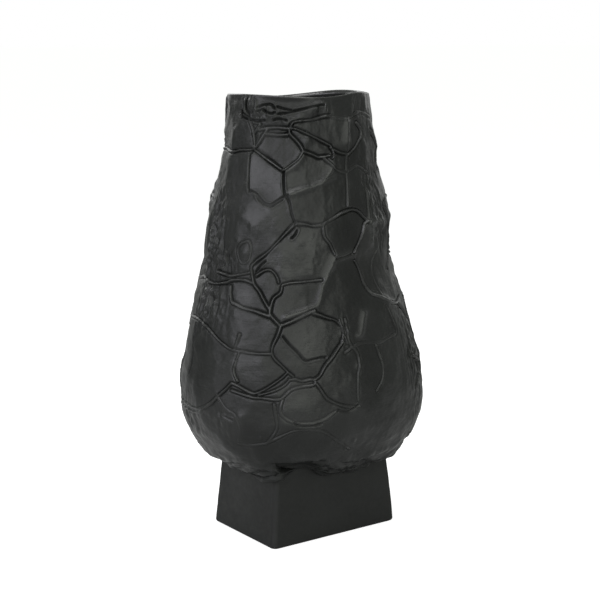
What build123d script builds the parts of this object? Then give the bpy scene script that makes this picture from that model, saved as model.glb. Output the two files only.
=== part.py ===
"""Black clay pot: an oval, hand-built vessel with a full belly, standing on a tapered rectangular foot.

Units are millimetres and degrees. The origin is the middle of the foot's underside, +Z is up, +X runs
along the foot's long side, and -Y faces the front. Every piece of clay that the potter makes on its own
is one solid:

  foot         hollow tapered box, open below, with a rebate inside its top edge
  foot_deck    slab that lies in the rebate and closes the foot
  belly_bowl   floor and belly of the vessel, up to its widest course
  upper_wall   courses from the belly to the neck, joined to the bowl by a bevelled scarf
  collar       strip round the mouth that laps over the thinned top edge of the wall
  luting_coil  coil pressed into the corner between the vessel and the foot
"""
import os
from bisect import bisect_right
from math import cos, exp, hypot, radians, sin

from build123d import *

# Foot
FOOT_LENGTH = 133.0
FOOT_DEPTH = 95.2
FOOT_HEIGHT = 66.0
FOOT_TOP_SHARE = 0.914        # size of the foot's top against its bottom
FOOT_WALL = 9.0
FOOT_CORNER_R = 4.5
FOOT_HEM_R = 2.5              # rounding of the bottom edges
DECK_THICKNESS = 8.0
DECK_SEAT = 4.0               # width of the rebate that carries the deck

# Vessel
RIM_HEIGHT = 380.0
WALL_THICKNESS = 5.5
LIP_THICKNESS = 4.0
FLOOR_THICKNESS = 8.5
SCARF_HEIGHT = 124.0          # where bowl and upper wall meet, at the outside of the bevel
SCARF_SLOPE = 0.5             # the bevel falls this much per millimetre towards the inside
SCARF_REACH = 22.0            # length of the bevel from the outside towards the inside
COLLAR_EDGE = 350.0           # lower edge of the collar
COLLAR_LAP = 9.0              # how far the collar laps over the wall
LAP_SHARE = 0.5               # share of the wall's thickness that the lap takes
COIL_R = 5.0
COIL_DROP = 2.0               # the coil's middle lies this far under the vessel

# Outline of the vessel: height, half length, half depth, squareness. A squareness of 2 is an oval, and
# more is a rounded rectangle.
OUTLINE = [
    (66, 68.0, 52.0, 7.0),
    (70, 77.0, 61.0, 5.5),
    (76, 87.0, 70.0, 3.6),
    (85, 96.0, 78.5, 2.75),
    (100, 105.5, 87.5, 2.3),
    (118, 110.5, 91.5, 2.1),
    (136, 111.0, 91.5, 2.05),
    (160, 107.0, 88.0, 2.0),
    (185, 101.5, 83.5, 2.0),
    (210, 95.0, 79.0, 2.0),
    (235, 88.0, 74.0, 2.0),
    (262, 83.5, 70.5, 2.0),
    (290, 78.2, 66.2, 2.0),
    (315, 71.5, 61.5, 2.0),
    (340, 67.2, 58.7, 2.0),
    (362, 64.2, 55.8, 2.0),
    (373, 62.9, 54.9, 2.0),
    (384, 61.7, 54.0, 2.0),
    (395, 60.5, 53.1, 2.0),
]

# The vessel leans a little: height, shift along X, shift along Y
LEAN = [
    (66, -1.0, 1.0),
    (85, -0.6, 0.5),
    (118, -1.2, 0.8),
    (185, -2.7, 1.7),
    (250, -4.8, 3.2),
    (320, -3.8, 2.2),
    (395, -4.5, 3.0),
]

# Hollows left by the hand, or bulges where the depth is negative: angle, height, spread, depth
HOLLOWS = [
    (-36, 243, 22, 3.4),
    (-36, 276, 20, -4.2),
    (-36, 148, 14, -1.0),
    (-36, 68, 12, -3.0),
    (-36, 352, 12, -1.6),
    (144, 342, 9, 2.2),
    (144, 292, 16, -0.8),
    (144, 98, 16, 1.0),
    (60, 215, 24, 3.0),
    (95, 300, 22, -2.5),
    (100, 160, 24, -2.0),
    (10, 190, 18, -1.5),
    (200, 330, 16, 1.5),
]

# Rise and fall of the rim: angle, rise, spread in degrees
RIM_WAVES = [(185, 1.2, 25), (247, -1.2, 22), (293, 2.3, 14), (20, 1.6, 20), (85, -4.0, 30)]
RIM_CUT_INNER_R = 25.0        # the ring that trims the rim, inside and outside, and its height
RIM_CUT_OUTER_R = 90.0
RIM_CUT_HEIGHT = 40.0
RIM_SECTORS = 3               # the ring is made in this many sectors

SECTION_POINTS = 40
OVERRUN = 5.0                 # how far cutting forms run past what they cut
REACH = 200.0                 # half size of forms that must enclose the vessel


def smooth_value(stations, column, height):
    """Cubic Hermite value of one column of a table whose first column is the height."""
    heights = [row[0] for row in stations]
    values = [row[column] for row in stations]
    last = len(heights) - 1

    def slope(i):
        low, high = max(i - 1, 0), min(i + 1, last)
        return (values[high] - values[low]) / (heights[high] - heights[low])

    i = min(max(bisect_right(heights, height) - 1, 0), last - 1)
    span = heights[i + 1] - heights[i]
    t = min(max((height - heights[i]) / span, 0.0), 1.0)
    return ((2 * t**3 - 3 * t**2 + 1) * values[i] + (t**3 - 2 * t**2 + t) * span * slope(i)
            + (3 * t**2 - 2 * t**3) * values[i + 1] + (t**3 - t**2) * span * slope(i + 1))


def turn_between(a, b):
    """Signed angle from a to b in degrees, between -180 and 180."""
    return (b - a + 180.0) % 360.0 - 180.0


def outer_radius(angle, height):
    """Distance of the vessel's outside from its leaning axis."""
    half_length = smooth_value(OUTLINE, 1, height)
    half_depth = smooth_value(OUTLINE, 2, height)
    power = smooth_value(OUTLINE, 3, height)
    c, s = abs(cos(radians(angle))), abs(sin(radians(angle)))
    radius = ((c / half_length) ** power + (s / half_depth) ** power) ** (-1.0 / power)
    for at_angle, at_height, spread, depth in HOLLOWS:
        along = radians(turn_between(at_angle, angle)) * radius
        radius -= depth * exp(-(along**2 + (height - at_height) ** 2) / (2 * spread**2))
    return radius


def section(height, inset=0.0, at_height=None):
    """Closed spline round the vessel at a height, drawn inset from the outside, and placed at at_height."""
    shift_x = smooth_value(LEAN, 1, height)
    shift_y = smooth_value(LEAN, 2, height)
    points = []
    for i in range(SECTION_POINTS):
        angle = 360.0 * i / SECTION_POINTS
        radius = outer_radius(angle, height) - inset
        x = shift_x + radius * cos(radians(angle))
        y = shift_y + radius * sin(radians(angle))
        points.append((x, y, height if at_height is None else at_height))
    return Wire([Edge.make_spline([Vector(p) for p in points], periodic=True)])


def flare(height):
    """How fast the vessel widens with height."""
    step = 1.0
    low, high = max(height - step, OUTLINE[0][0]), min(height + step, OUTLINE[-1][0])
    return (smooth_value(OUTLINE, 1, high) - smooth_value(OUTLINE, 1, low)) / (high - low)


def wall_thickness(height):
    """The wall thins from the neck to the lip."""
    share = min(max((height - COLLAR_EDGE) / (RIM_HEIGHT - COLLAR_EDGE), 0.0), 1.0)
    return WALL_THICKNESS + (LIP_THICKNESS - WALL_THICKNESS) * share


def outer_form():
    return Solid.make_loft([section(row[0]) for row in OUTLINE])


def inner_form():
    """The hollow, set in from the outside along its slope, down to the floor."""
    wires = []
    for row in OUTLINE:
        height = row[0]
        slope = flare(height)
        length = hypot(1.0, slope)
        thickness = wall_thickness(height)
        inner_height = height + thickness * slope / length
        if inner_height >= FOOT_HEIGHT + FLOOR_THICKNESS:
            wires.append(section(height, thickness / length, inner_height))
    top = OUTLINE[-1][0]
    wires.append(section(top, LIP_THICKNESS, top + OVERRUN))
    return Solid.make_loft(wires)


def rim_height(angle):
    """Height of the wavy rim at an angle round the mouth."""
    return RIM_HEIGHT + sum(rise * exp(-turn_between(at, angle) ** 2 / (2 * spread**2))
                            for at, rise, spread in RIM_WAVES)


def above_rim():
    """Sectors of a ring-shaped block whose underside follows the wavy rim."""
    turn = 360.0 / RIM_SECTORS
    steps = SECTION_POINTS // RIM_SECTORS

    def arc(radius, start):
        points = []
        for i in range(steps + 1):
            angle = start + turn * i / steps
            points.append((radius * cos(radians(angle)), radius * sin(radians(angle)), rim_height(angle)))
        return Edge.make_spline([Vector(p) for p in points])

    sectors = []
    for i in range(RIM_SECTORS):
        start = turn * i
        underside = Face.make_surface_from_curves(arc(RIM_CUT_INNER_R, start), arc(RIM_CUT_OUTER_R, start))
        sectors.append(Solid.extrude(underside, Vector(0, 0, RIM_CUT_HEIGHT)))
    return sectors


def tapered_box(length, depth, height, base_height=0.0):
    """Box that narrows upwards as the foot does, from base_height to height."""
    def outline(z):
        share = 1.0 + (FOOT_TOP_SHARE - 1.0) * z / FOOT_HEIGHT
        return Plane.XY.offset(z) * RectangleRounded(length * share, depth * share, FOOT_CORNER_R)
    return loft([outline(base_height), outline(height)])


def make_foot_and_deck():
    """Hollow foot, and the deck in the rebate under its top edge."""
    body = tapered_box(FOOT_LENGTH, FOOT_DEPTH, FOOT_HEIGHT)
    hem = [edge for edge in body.edges() if edge.center().Z < 0.5 * FOOT_HEM_R]
    body = fillet(hem, FOOT_HEM_R)
    seat_height = FOOT_HEIGHT - DECK_THICKNESS
    hollow_length = FOOT_LENGTH - 2 * FOOT_WALL
    hollow_depth = FOOT_DEPTH - 2 * FOOT_WALL
    seat_length = hollow_length + 2 * DECK_SEAT
    seat_depth = hollow_depth + 2 * DECK_SEAT
    hollow = tapered_box(hollow_length, hollow_depth, seat_height, -OVERRUN)
    rebate = tapered_box(seat_length, seat_depth, FOOT_HEIGHT + OVERRUN, seat_height)
    deck = tapered_box(seat_length, seat_depth, FOOT_HEIGHT, seat_height)
    return body - hollow - rebate, deck


def make_vessel():
    """The fired shell from floor to rim, before it is divided into its pieces."""
    vessel = outer_form() - inner_form()
    for sector in above_rim():
        vessel = vessel - sector
    return vessel


def below_bevel():
    """Everything under the scarf's cone, which falls towards the inside of the wall."""
    girth = outer_radius(-90, SCARF_HEIGHT)
    inner_reach = girth - SCARF_REACH
    edge = SCARF_HEIGHT + (REACH - girth) * SCARF_SLOPE
    inner_edge = SCARF_HEIGHT - SCARF_REACH * SCARF_SLOPE
    outline = Polyline((0, 0, 0), (REACH, 0, 0), (REACH, 0, edge), (inner_reach, 0, inner_edge),
                       (0, 0, inner_edge), close=True)
    return revolve(make_face(outline), axis=Axis.Z)


def below_lap():
    """Everything under the collar, with the thinned edge of the wall that the collar laps over."""
    under = Pos(0, 0, COLLAR_EDGE / 2) * Box(2 * REACH, 2 * REACH, COLLAR_EDGE)
    top = COLLAR_EDGE + COLLAR_LAP
    heights = [COLLAR_EDGE - COLLAR_LAP, COLLAR_EDGE, (COLLAR_EDGE + top) / 2, top]
    thinned = Solid.make_loft([section(h, LAP_SHARE * wall_thickness(h)) for h in heights])
    return under + thinned


def divide_vessel(vessel):
    """Bowl, upper wall and collar, which meet at a bevelled scarf and a lap."""
    bevel, lap = below_bevel(), below_lap()
    above_bowl = vessel - bevel
    return vessel & bevel, above_bowl & lap, above_bowl - lap


def make_luting_coil(vessel_outside):
    """Coil pressed into the corner under the belly, all round the top of the foot."""
    length = FOOT_LENGTH * FOOT_TOP_SHARE + COIL_R
    depth = FOOT_DEPTH * FOOT_TOP_SHARE + COIL_R
    path = Plane.XY.offset(FOOT_HEIGHT - COIL_DROP) * RectangleRounded(length, depth, FOOT_CORNER_R + COIL_R)
    ring = path.faces()[0].outer_wire()
    coil = sweep(Plane(origin=ring @ 0, z_dir=ring % 0) * Circle(COIL_R), path=ring)
    return coil - tapered_box(FOOT_LENGTH, FOOT_DEPTH, FOOT_HEIGHT) - vessel_outside


def main():
    foot, deck = make_foot_and_deck()
    bowl, wall, collar = divide_vessel(make_vessel())
    pieces = {
        "foot": foot,
        "foot_deck": deck,
        "luting_coil": make_luting_coil(outer_form()),
        "belly_bowl": bowl,
        "upper_wall": wall,
        "collar": collar,
    }
    os.makedirs("parts", exist_ok=True)
    for name, shape in pieces.items():
        export_step(shape.solids()[0], f"parts/{name}.step")


if __name__ == "__main__":
    main()
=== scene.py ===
"""Looks of the black clay pot: hand-worked skin of the vessel, foot and luting coil, clay, and studio."""
import math
from functools import partial

import bpy
import numpy as np
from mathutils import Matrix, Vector
from mathutils.bvhtree import BVHTree


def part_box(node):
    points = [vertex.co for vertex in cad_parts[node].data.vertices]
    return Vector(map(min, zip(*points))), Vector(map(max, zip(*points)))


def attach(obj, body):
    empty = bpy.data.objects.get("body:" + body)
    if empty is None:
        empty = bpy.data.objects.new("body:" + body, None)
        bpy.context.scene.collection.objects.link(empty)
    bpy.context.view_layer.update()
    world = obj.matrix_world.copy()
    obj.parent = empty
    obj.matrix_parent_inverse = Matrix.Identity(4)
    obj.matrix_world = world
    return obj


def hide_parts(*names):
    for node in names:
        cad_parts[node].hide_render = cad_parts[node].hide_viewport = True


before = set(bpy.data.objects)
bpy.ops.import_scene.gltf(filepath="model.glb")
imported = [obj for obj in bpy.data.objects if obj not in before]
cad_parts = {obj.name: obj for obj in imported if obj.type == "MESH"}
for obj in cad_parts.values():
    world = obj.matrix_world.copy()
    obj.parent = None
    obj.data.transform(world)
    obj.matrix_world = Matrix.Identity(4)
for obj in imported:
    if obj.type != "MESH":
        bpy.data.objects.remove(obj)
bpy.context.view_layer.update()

MM = 0.001

# The skin is a grid: columns go round the pot, rows go up it. Lengths are in millimetres.
COLUMNS = 880
ROW_STEP = 0.72  # spacing of rows along the outside
BASE_Z = 66.0
PROBE_TOP = 373.0  # highest level at which every column still meets the wall
RIM_Z = 380.0
COLLAR_Z, COLLAR_LAP = 350.0, 9.0  # the collar's lower edge, which is this much higher inside
SCARF_Z, SCARF_DROP = 128.0, 4.0  # the scarf between bowl and wall, which is this much lower inside
FLOOR_Z = 75.0
SMOOTHING = 4.0  # blur that takes the facets off the probed surface
PROBE_REACH = 200.0  # probes from outside start this far from the axis
AXIS_BASE, AXIS_LEVELS = BASE_Z + 1.0, 40  # the axis is found at these levels,
AXIS_STEP, AXIS_MEAN = 8, 5  # from every eighth column, and is evened out over five levels
PROFILE_BASE, PROFILE_STEP = BASE_Z + 0.3, 0.5  # the profile's length is measured at these levels,
PROFILE_COLUMN_STEP = 95  # in every 95th column
SLOPE_ROWS = 8  # up to the rim, the outside carries on with the slope of this many rows
RIM_INSET = 2.0  # the rim is probed this far inside the outer edge, from RIM_PROBE_Z
RIM_PROBE_Z = 450.0
LIP_STEPS = 8
INNER_TOP = RIM_Z - 3.0  # first row inside
INNER_STEP_NEAR, INNER_STEP_FAR = 2.5, 8.0  # spacing of rows inside, near the mouth and below it
INNER_NEAR_DEPTH = 70.0
INNER_FOOT_ROWS = (2.0, 0.8)  # lowest rows inside, above the floor
FLOOR_RINGS, UNDER_RINGS = 6, 3
FOOT_TOP_SHARE = 0.914  # size of the foot's top against its bottom, as in the CAD

# The photographed side looks this way, and turns are counted from it to the right, in degrees.
FACING = -125.75

# Below SAG_TOP the soft clay sags over the foot: turn and drop
SAG_TOP = 88.0
SAG = [(-150, 4.0), (-110, 2.0), (-83, 0.5), (-73, 2.0), (-54, 6.5), (-32, 3.0), (-20, 0.0), (15, 2.5),
       (25, 6.5), (50, 7.0), (70, 6.0), (84, 2.0), (110, 3.0), (145, 5.0), (180, 2.0)]

# At the front, around BARE_TURN, no clay is smeared over the foot, and the skin is flush with its face
BARE_TURN, BARE_NEAR, BARE_FAR = -1.0, 3.0, 17.0
BARE_TOP, BARE_STEP = 81.0, 1.5
BARE_POLISH = 0.6
BARE_PROUD = 0.8  # the bare skin may stand this much in front of the foot


# ---- grid helpers

def smoothstep(low, high, value):
    """0 below low, 1 above high, and a smooth rise between them."""
    t = np.clip((value - low) / (high - low), 0.0, 1.0)
    return t * t * (3.0 - 2.0 * t)


def turn_between(turns, at):
    """Signed turn from a place to others, between -180 and 180."""
    return (turns - at + 180.0) % 360.0 - 180.0


def blur(grid, rows_sigma, columns_sigma):
    """Gaussian blur of a grid that closes on itself sideways and is mirrored at its top and bottom."""
    doubled = np.concatenate([grid, grid[::-1]], axis=0)
    row_wave = np.fft.fftfreq(doubled.shape[0])[:, None]
    column_wave = np.fft.rfftfreq(doubled.shape[1])[None, :]
    squared = (row_wave * rows_sigma) ** 2 + (column_wave * columns_sigma) ** 2
    keep = np.exp(-2.0 * np.pi ** 2 * squared)
    return np.fft.irfft2(np.fft.rfft2(doubled) * keep, s=doubled.shape)[:grid.shape[0]]


def noise(seed, shape, rows_sigma, columns_sigma):
    """Smooth noise with mean 0 and spread 1."""
    grid = blur(np.random.default_rng(seed).standard_normal(shape), rows_sigma, columns_sigma)
    return (grid - grid.mean()) / grid.std()


def layers(table, shape):
    """Sum of noises, each with its seed, its sizes up and across in grid steps, and its height."""
    return sum(height * noise(seed, shape, up, across) for seed, up, across, height in table)


def grid_normals(points):
    """Unit normals of a grid of points, outwards when rows go up and columns go anticlockwise."""
    along = np.roll(points, -1, axis=1) - np.roll(points, 1, axis=1)
    up = np.gradient(points, axis=0)
    normals = np.cross(along, up)
    return normals / np.maximum(np.linalg.norm(normals, axis=2, keepdims=True), 1e-12)


# ---- probing the CAD vessel

def wall_tree():
    """Ray tree over the three CAD pieces of the vessel."""
    vertices, faces = [], []
    for name in ("belly_bowl", "upper_wall", "collar"):
        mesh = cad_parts[name].data
        start = len(vertices)
        vertices.extend(v.co.copy() for v in mesh.vertices)
        faces.extend([start + i for i in p.vertices] for p in mesh.polygons)
    return BVHTree.FromPolygons(vertices, faces)


TREE = wall_tree()
ANGLES = np.radians(FACING) + 2.0 * np.pi * np.arange(COLUMNS) / COLUMNS
DIRECTIONS = np.stack([np.cos(ANGLES), np.sin(ANGLES)], axis=1)
TURNS = turn_between(np.degrees(ANGLES), FACING)


def probe(z, centre, direction, inwards):
    """Distance from the axis to the wall's outside or inside, at one level and in one direction."""
    start, way = Vector((*centre, z)) * MM, Vector((*direction, 0.0))
    if inwards:
        return PROBE_REACH - TREE.ray_cast(start + PROBE_REACH * MM * way, -way)[3] / MM
    return TREE.ray_cast(start, way)[3] / MM


def probe_ring(z, centre, inwards, step=1):
    """Distances from the axis to the wall all round, in every step-th column."""
    return np.array([probe(z, centre, d, inwards) for d in DIRECTIONS[::step]])


def axis_at(heights):
    """Middle of the leaning vessel at each height, from the mean of its outside."""
    levels = np.linspace(AXIS_BASE, PROBE_TOP, AXIS_LEVELS)
    middles = []
    for z in levels:
        ring = probe_ring(z, (0.0, 0.0), True, step=AXIS_STEP)
        points = ring[:, None] * DIRECTIONS[::AXIS_STEP]
        weights = np.linalg.norm(np.roll(points, -1, axis=0) - np.roll(points, 1, axis=0), axis=1)
        middles.append((points * weights[:, None]).sum(axis=0) / weights.sum())
    middles = np.array(middles)
    kernel = np.ones(AXIS_MEAN) / AXIS_MEAN
    padded = np.pad(middles, ((AXIS_MEAN // 2, AXIS_MEAN // 2), (0, 0)), mode="edge")
    middles = np.stack([np.convolve(padded[:, i], kernel, mode="valid") for i in range(2)], axis=1)
    return np.stack([np.interp(heights, levels, middles[:, i]) for i in range(2)], axis=1)


def outer_levels():
    """Row heights that are evenly spaced along the outside's profile."""
    fine = np.arange(PROFILE_BASE, PROBE_TOP, PROFILE_STEP)
    centres = axis_at(fine)
    radii = np.array([probe_ring(z, c, True, PROFILE_COLUMN_STEP).mean() for z, c in zip(fine, centres)])
    length = np.concatenate([[0.0], np.cumsum(np.hypot(np.diff(fine), np.diff(radii)))])
    count = int(length[-1] / ROW_STEP)
    below = np.interp(np.linspace(0.0, length[-1], count), length, fine)
    above = np.arange(below[-1] + ROW_STEP, RIM_Z, ROW_STEP)
    return np.concatenate([below, above])


LEVELS = outer_levels()
CENTRES = axis_at(LEVELS)
ROWS = len(LEVELS)


def probe_outside():
    """Radius of the outside over the whole grid, without facets, and carried on smoothly up to the rim."""
    radius = np.empty((ROWS, COLUMNS))
    last = int(np.searchsorted(LEVELS, PROBE_TOP)) - 1
    for i in range(last + 1):
        radius[i] = probe_ring(LEVELS[i], CENTRES[i], True)
    slope = (radius[last] - radius[last - SLOPE_ROWS]) / (LEVELS[last] - LEVELS[last - SLOPE_ROWS])
    for i in range(last + 1, ROWS):
        radius[i] = radius[last] + slope * (LEVELS[i] - LEVELS[last])
    return blur(radius, SMOOTHING / ROW_STEP, SMOOTHING / ROW_STEP)


def probe_rim():
    """Height of the rim in every column, from straight above the middle of the lip."""
    heights = []
    for radius, direction in zip(RADIUS[-1], DIRECTIONS):
        x, y = CENTRES[-1] + (radius - RIM_INSET) * direction
        hit = TREE.ray_cast(Vector((x, y, RIM_PROBE_Z)) * MM, Vector((0.0, 0.0, -1.0)))
        heights.append(hit[0].z / MM)
    return blur(np.array([heights]), 0.0, SMOOTHING * 2)[0]


RADIUS = probe_outside()
RIM = probe_rim()


def bare(turns):
    """1 where the corner between belly and foot is left open, and 0 where clay is smeared over it."""
    return 1.0 - smoothstep(BARE_NEAR, BARE_FAR, np.abs(turns - BARE_TURN))


def sag(turns):
    """Drop of the soft clay over the foot."""
    at, drop = np.array(SAG).T
    return np.interp(turns, at, drop, period=360.0) * (1.0 - bare(turns))


def place(levels, centres, radius):
    """Grid points from levels, axis and radii. The top rows follow the wavy rim, and the bottom rows sag."""
    height = levels[:, None]
    share = np.clip((height - COLLAR_Z) / (RIM_Z - COLLAR_Z), 0.0, 1.0)
    soft = 1.0 - smoothstep(BASE_Z, SAG_TOP, height)
    z = height + share * (RIM - RIM_Z) - soft * blur(sag(TURNS)[None, :], 0.0, SMOOTHING)
    x = centres[:, :1] + radius * DIRECTIONS[:, 0]
    y = centres[:, 1:] + radius * DIRECTIONS[:, 1]
    return np.stack([x, y, z], axis=2)


SMOOTH_SKIN = place(LEVELS, CENTRES, RADIUS)


# ---- the net of cords, creases and ridges

# Each line is a list of places on the skin: turn and height.
# A cord is a raised string with a groove at each side, a crease is a cut, and a ridge is a soft fold.
CORD_LINES = [
    # fan of cords under the mouth
    [(-8, 354), (-3, 354), (8, 349.5), (17, 345), (26, 340)],
    [(-8, 354), (-7, 350), (-2.5, 345), (1, 340), (2.5, 336)],
    [(-31, 353), (-23, 354.5), (-16, 355), (-8, 354.5), (-5, 359), (0, 360.5), (10, 361.5), (20, 364),
     (28, 364.5)],
    [(-26, 349.5), (-18, 349), (-9, 349.5)],
    [(-24, 354), (-27, 349), (-31, 341), (-34.5, 337)],
    [(-34.5, 337), (-27, 331.5), (-19, 326), (-11.5, 320.5)],
    [(-34.5, 337), (-41, 336.5), (-47, 336), (-56, 334), (-70, 336), (-84, 333)],
    [(-34, 338), (-36, 350), (-38.5, 356), (-41, 361), (-45, 364), (-49, 367)],
    [(-40, 358.5), (-36, 358.5), (-30.5, 357.5), (-33, 353), (-36.5, 349)],
    [(2.5, 336), (6, 335), (11, 333), (16, 331), (24, 332)],
    [(26, 340), (28, 334), (26, 330)],
    [(26, 338), (34, 334), (42, 332)],
    [(57, 357), (62, 352), (62, 346), (57, 341.5), (50, 336), (44, 333), (40, 331)],
    # upper middle, with the knot at its left
    [(-2, 278), (5, 277.5), (10, 276), (17, 276)],
    [(17, 276), (19, 278), (25, 281), (31, 284.5), (36, 286), (42, 287), (48, 285), (53, 280),
     (57, 276)],
    [(17, 276), (18, 267), (22, 260), (25, 252)],
    [(57, 276), (53, 274), (51, 267), (48, 261), (44.5, 256), (41, 252)],
    [(-2, 278), (-7, 271.5), (-12, 264), (-18, 255), (-24.5, 248)],
    [(-24.5, 248), (-27, 243), (-26.5, 236)],
    [(-28, 238), (-34, 236), (-40, 234.5), (-50, 236)],
    [(-26, 230), (-31, 232), (-37, 231.5), (-43, 228.5), (-54, 226), (-66, 229), (-82, 224)],
    [(-24, 236), (-20, 240), (-16.5, 241), (-14, 239), (-12, 235), (-11, 231)],
    [(-26.5, 236), (-25, 229), (-22, 224), (-20, 219), (-18, 214), (-16, 209.5), (-15.5, 205),
     (-10.5, 197)],
    [(-39, 226), (-38.5, 219), (-37, 213.5), (-34.5, 212), (-30.5, 209.5), (-24.5, 208), (-16, 204)],
    [(-9, 229), (-4, 230.5), (2, 231), (8, 231.5), (15, 232)],
    [(-9, 229), (-10, 223), (-13.5, 219), (-15, 214), (-16, 206)],
    # right of the middle
    [(42, 245), (44.5, 239), (46, 231), (47, 226), (49.5, 219), (51, 216)],
    [(51, 216), (57, 213), (63, 209), (68, 205.5), (76, 203), (86, 206)],
    [(47, 174), (48.5, 166), (49.5, 157), (49, 149), (46.5, 142), (43, 137)],
    # lower middle
    [(-9.5, 197), (-5, 199.5), (0, 202.5), (5, 205.5), (9, 207.5)],
    [(8, 206), (12, 204), (17, 201), (21, 199), (24, 194), (25, 187.5), (23.5, 182)],
    [(-10, 197), (-12, 188), (-14, 181), (-14.5, 175), (-13, 170), (-9.5, 164.5), (-6.5, 159.5),
     (-4, 156)],
    [(24.5, 182), (20, 175), (16.5, 169), (12.5, 163), (9.5, 156), (6.5, 152.5)],
    [(-6, 153.5), (-2.5, 153.5), (0.5, 152), (4.5, 153), (6.5, 152.5)],
    [(-15, 174), (-20, 174), (-25, 174), (-30, 175), (-35, 176), (-39, 179), (-42.5, 182), (-46, 186),
     (-52, 191), (-62, 195), (-80, 192)],
    [(-30, 175), (-31.5, 165), (-32, 158), (-30, 151)],
    [(-7, 159), (-9.5, 155), (-13.5, 150), (-17.5, 145.5), (-22, 142), (-26, 144), (-29.5, 147),
     (-33, 149)],
    [(-20, 141), (-16, 143), (-11.5, 146), (-8, 149.5), (-6, 153)],
    [(-33, 143), (-23, 139), (-18, 138.5), (-13.5, 137.5), (-10, 138), (-7.5, 141.5), (-4.5, 145.5),
     (0.5, 147.5), (5.5, 148.5), (7, 151)],
    [(7, 150), (9, 145.5), (12, 138), (15, 134), (18.5, 131), (24, 128), (31, 127)],
    [(-9, 137), (-10, 131.5), (-10, 126), (-7.5, 121), (-4.5, 118.5), (-1.5, 117.5), (4, 117), (8.5, 118),
     (12, 120), (14.5, 122.5), (18, 126)],
    [(-18, 99), (-14, 103), (-9, 107.5), (-4.5, 110.5), (1, 111), (8, 110), (12, 107), (18, 99), (23, 93),
     (28, 88)],
    [(-33, 149), (-35.5, 144), (-39.5, 137), (-43.5, 130), (-48, 125), (-55, 121.5), (-76, 122)],
    [(-48, 125), (-54, 117.5), (-76, 117)],
    [(-13, 133.5), (-12.5, 125), (-12, 114), (-14, 107), (-17.5, 99)],
    [(-18, 99), (-24, 97.5), (-31, 98)],
]

# Cords that are pressed nearly flat
FAINT_LINES = [
    [(2.5, 336), (-1, 330), (-6, 325.5), (-11, 321)],
    [(62, 204), (66, 190), (67, 180), (60, 178), (50, 176), (38, 178), (31, 176), (25, 172)],
    [(23.5, 199), (24.5, 190), (27, 180)],
    [(27.5, 199), (28, 190), (28.5, 180), (33, 170), (33, 160), (31, 148), (30.5, 132)],
    [(-40, 137), (-36, 128), (-31, 122), (-29, 112), (-31, 98)],
    [(-34, 262), (-30, 263), (-28, 257), (-29, 248), (-33, 245), (-36, 250), (-36.5, 257),
     (-34, 262)],
    [(28, 364.5), (38, 361.5), (50, 362), (62, 365), (80, 361)],
    [(40, 330), (40, 315), (39, 300), (38, 290)],
    [(-61, 190), (-61, 178), (-60, 162), (-61, 148)],
    [(-31, 188), (-33, 176)],
    [(66, 250), (60, 240), (57, 228), (60, 214)],
    [(20, 330), (28, 322), (38, 318), (52, 322), (64, 316)],
]

CREASE_LINES = [
    [(-11, 320), (-11, 315), (-10.5, 308), (-9.5, 301), (-7.5, 298), (-6, 294), (-4.5, 286), (-2, 278)],
    [(-7.5, 301), (-11, 299), (-15, 296), (-18, 293.5), (-21, 294), (-24, 296), (-28, 301), (-31, 303),
     (-34, 304)],
    [(-11, 297.5), (-15, 294.5), (-18, 292), (-21, 292.5), (-24, 294.5), (-28, 299.5)],
    [(-34.5, 337), (-37, 331), (-36.5, 320), (-35.5, 310), (-34, 303)],
    [(-0.5, 273), (-2, 269), (-4, 266.5)],
    [(-24, 239), (-22, 244), (-19, 248)],
    [(26, 248), (31, 249), (39, 251)],
    [(-9, 188), (-6, 182), (-2, 175.5), (2, 168.5), (6, 169), (10, 170), (13, 170)],
    [(-4, 118), (-1.5, 115), (4, 114.5), (9, 116)],
    [(-37, 121), (-32.5, 118)],
    [(-48, 363), (-41, 361), (-33, 360), (-27, 360.5)],
    [(-20, 361), (-15, 362), (-10, 361)],
    [(-32, 370.5), (-28, 372.5), (-22, 373), (-19, 370)],
    [(-32, 367), (-29, 369), (-26, 367.5), (-22, 366), (-19, 367)],
    [(-17, 371.5), (-11, 370), (-6, 369)],
    [(-16, 366), (-10, 367), (-4, 368.5), (4, 370.5), (12, 372.5), (21, 374)],
    [(-36, 378), (-35, 372), (-37, 366)],
    [(-42, 377), (-43, 370), (-41, 364)],
    [(-47, 376), (-46, 369), (-48, 362)],
    [(30, 128), (24, 124), (18, 126)],
]

RIDGE_LINES = [
    [(24.5, 250), (23, 245), (20, 237.5), (17.5, 232), (15, 226), (13, 218), (10, 212), (7, 210), (3, 208),
     (-2, 206), (-7, 203.5)],
    [(-6, 302), (1, 304.5), (8, 307), (17, 311), (28, 315)],
    [(-10, 321), (-5, 324), (-1, 328), (2, 334)],
    [(26, 330), (25, 320), (17, 311)],
    [(42, 202), (39.5, 195), (37.5, 187.5), (35.5, 184)],
    [(44.5, 360), (43, 350), (42, 343)],
    [(22, 374), (22, 366)],
    [(51, 216), (57, 213), (63, 209), (68, 205.5), (74, 203)],
    [(24.5, 250), (31, 250), (41, 252)],
    [(57, 276), (60, 268), (60, 258)],
    [(57, 274), (66, 276), (76, 272)],
]

# Thumb-sized lumps: turn, height, radius, rise
LUMPS = [
    (33, 160, 4.0, 1.3), (-32, 254, 4.0, 1.2), (-36, 283, 3.0, 0.7), (-36, 262, 3.0, 0.7),
    (29, 96, 2.5, 1.2), (25, 90, 2.0, 0.9), (-20, 104, 2.0, 0.8), (-78, 288, 5.0, 1.6),
    (-76, 212, 6.0, 1.2), (94, 338, 9.0, 1.8), (92, 276, 5.0, 1.4), (94, 112, 10.0, 1.6),
]

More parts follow.
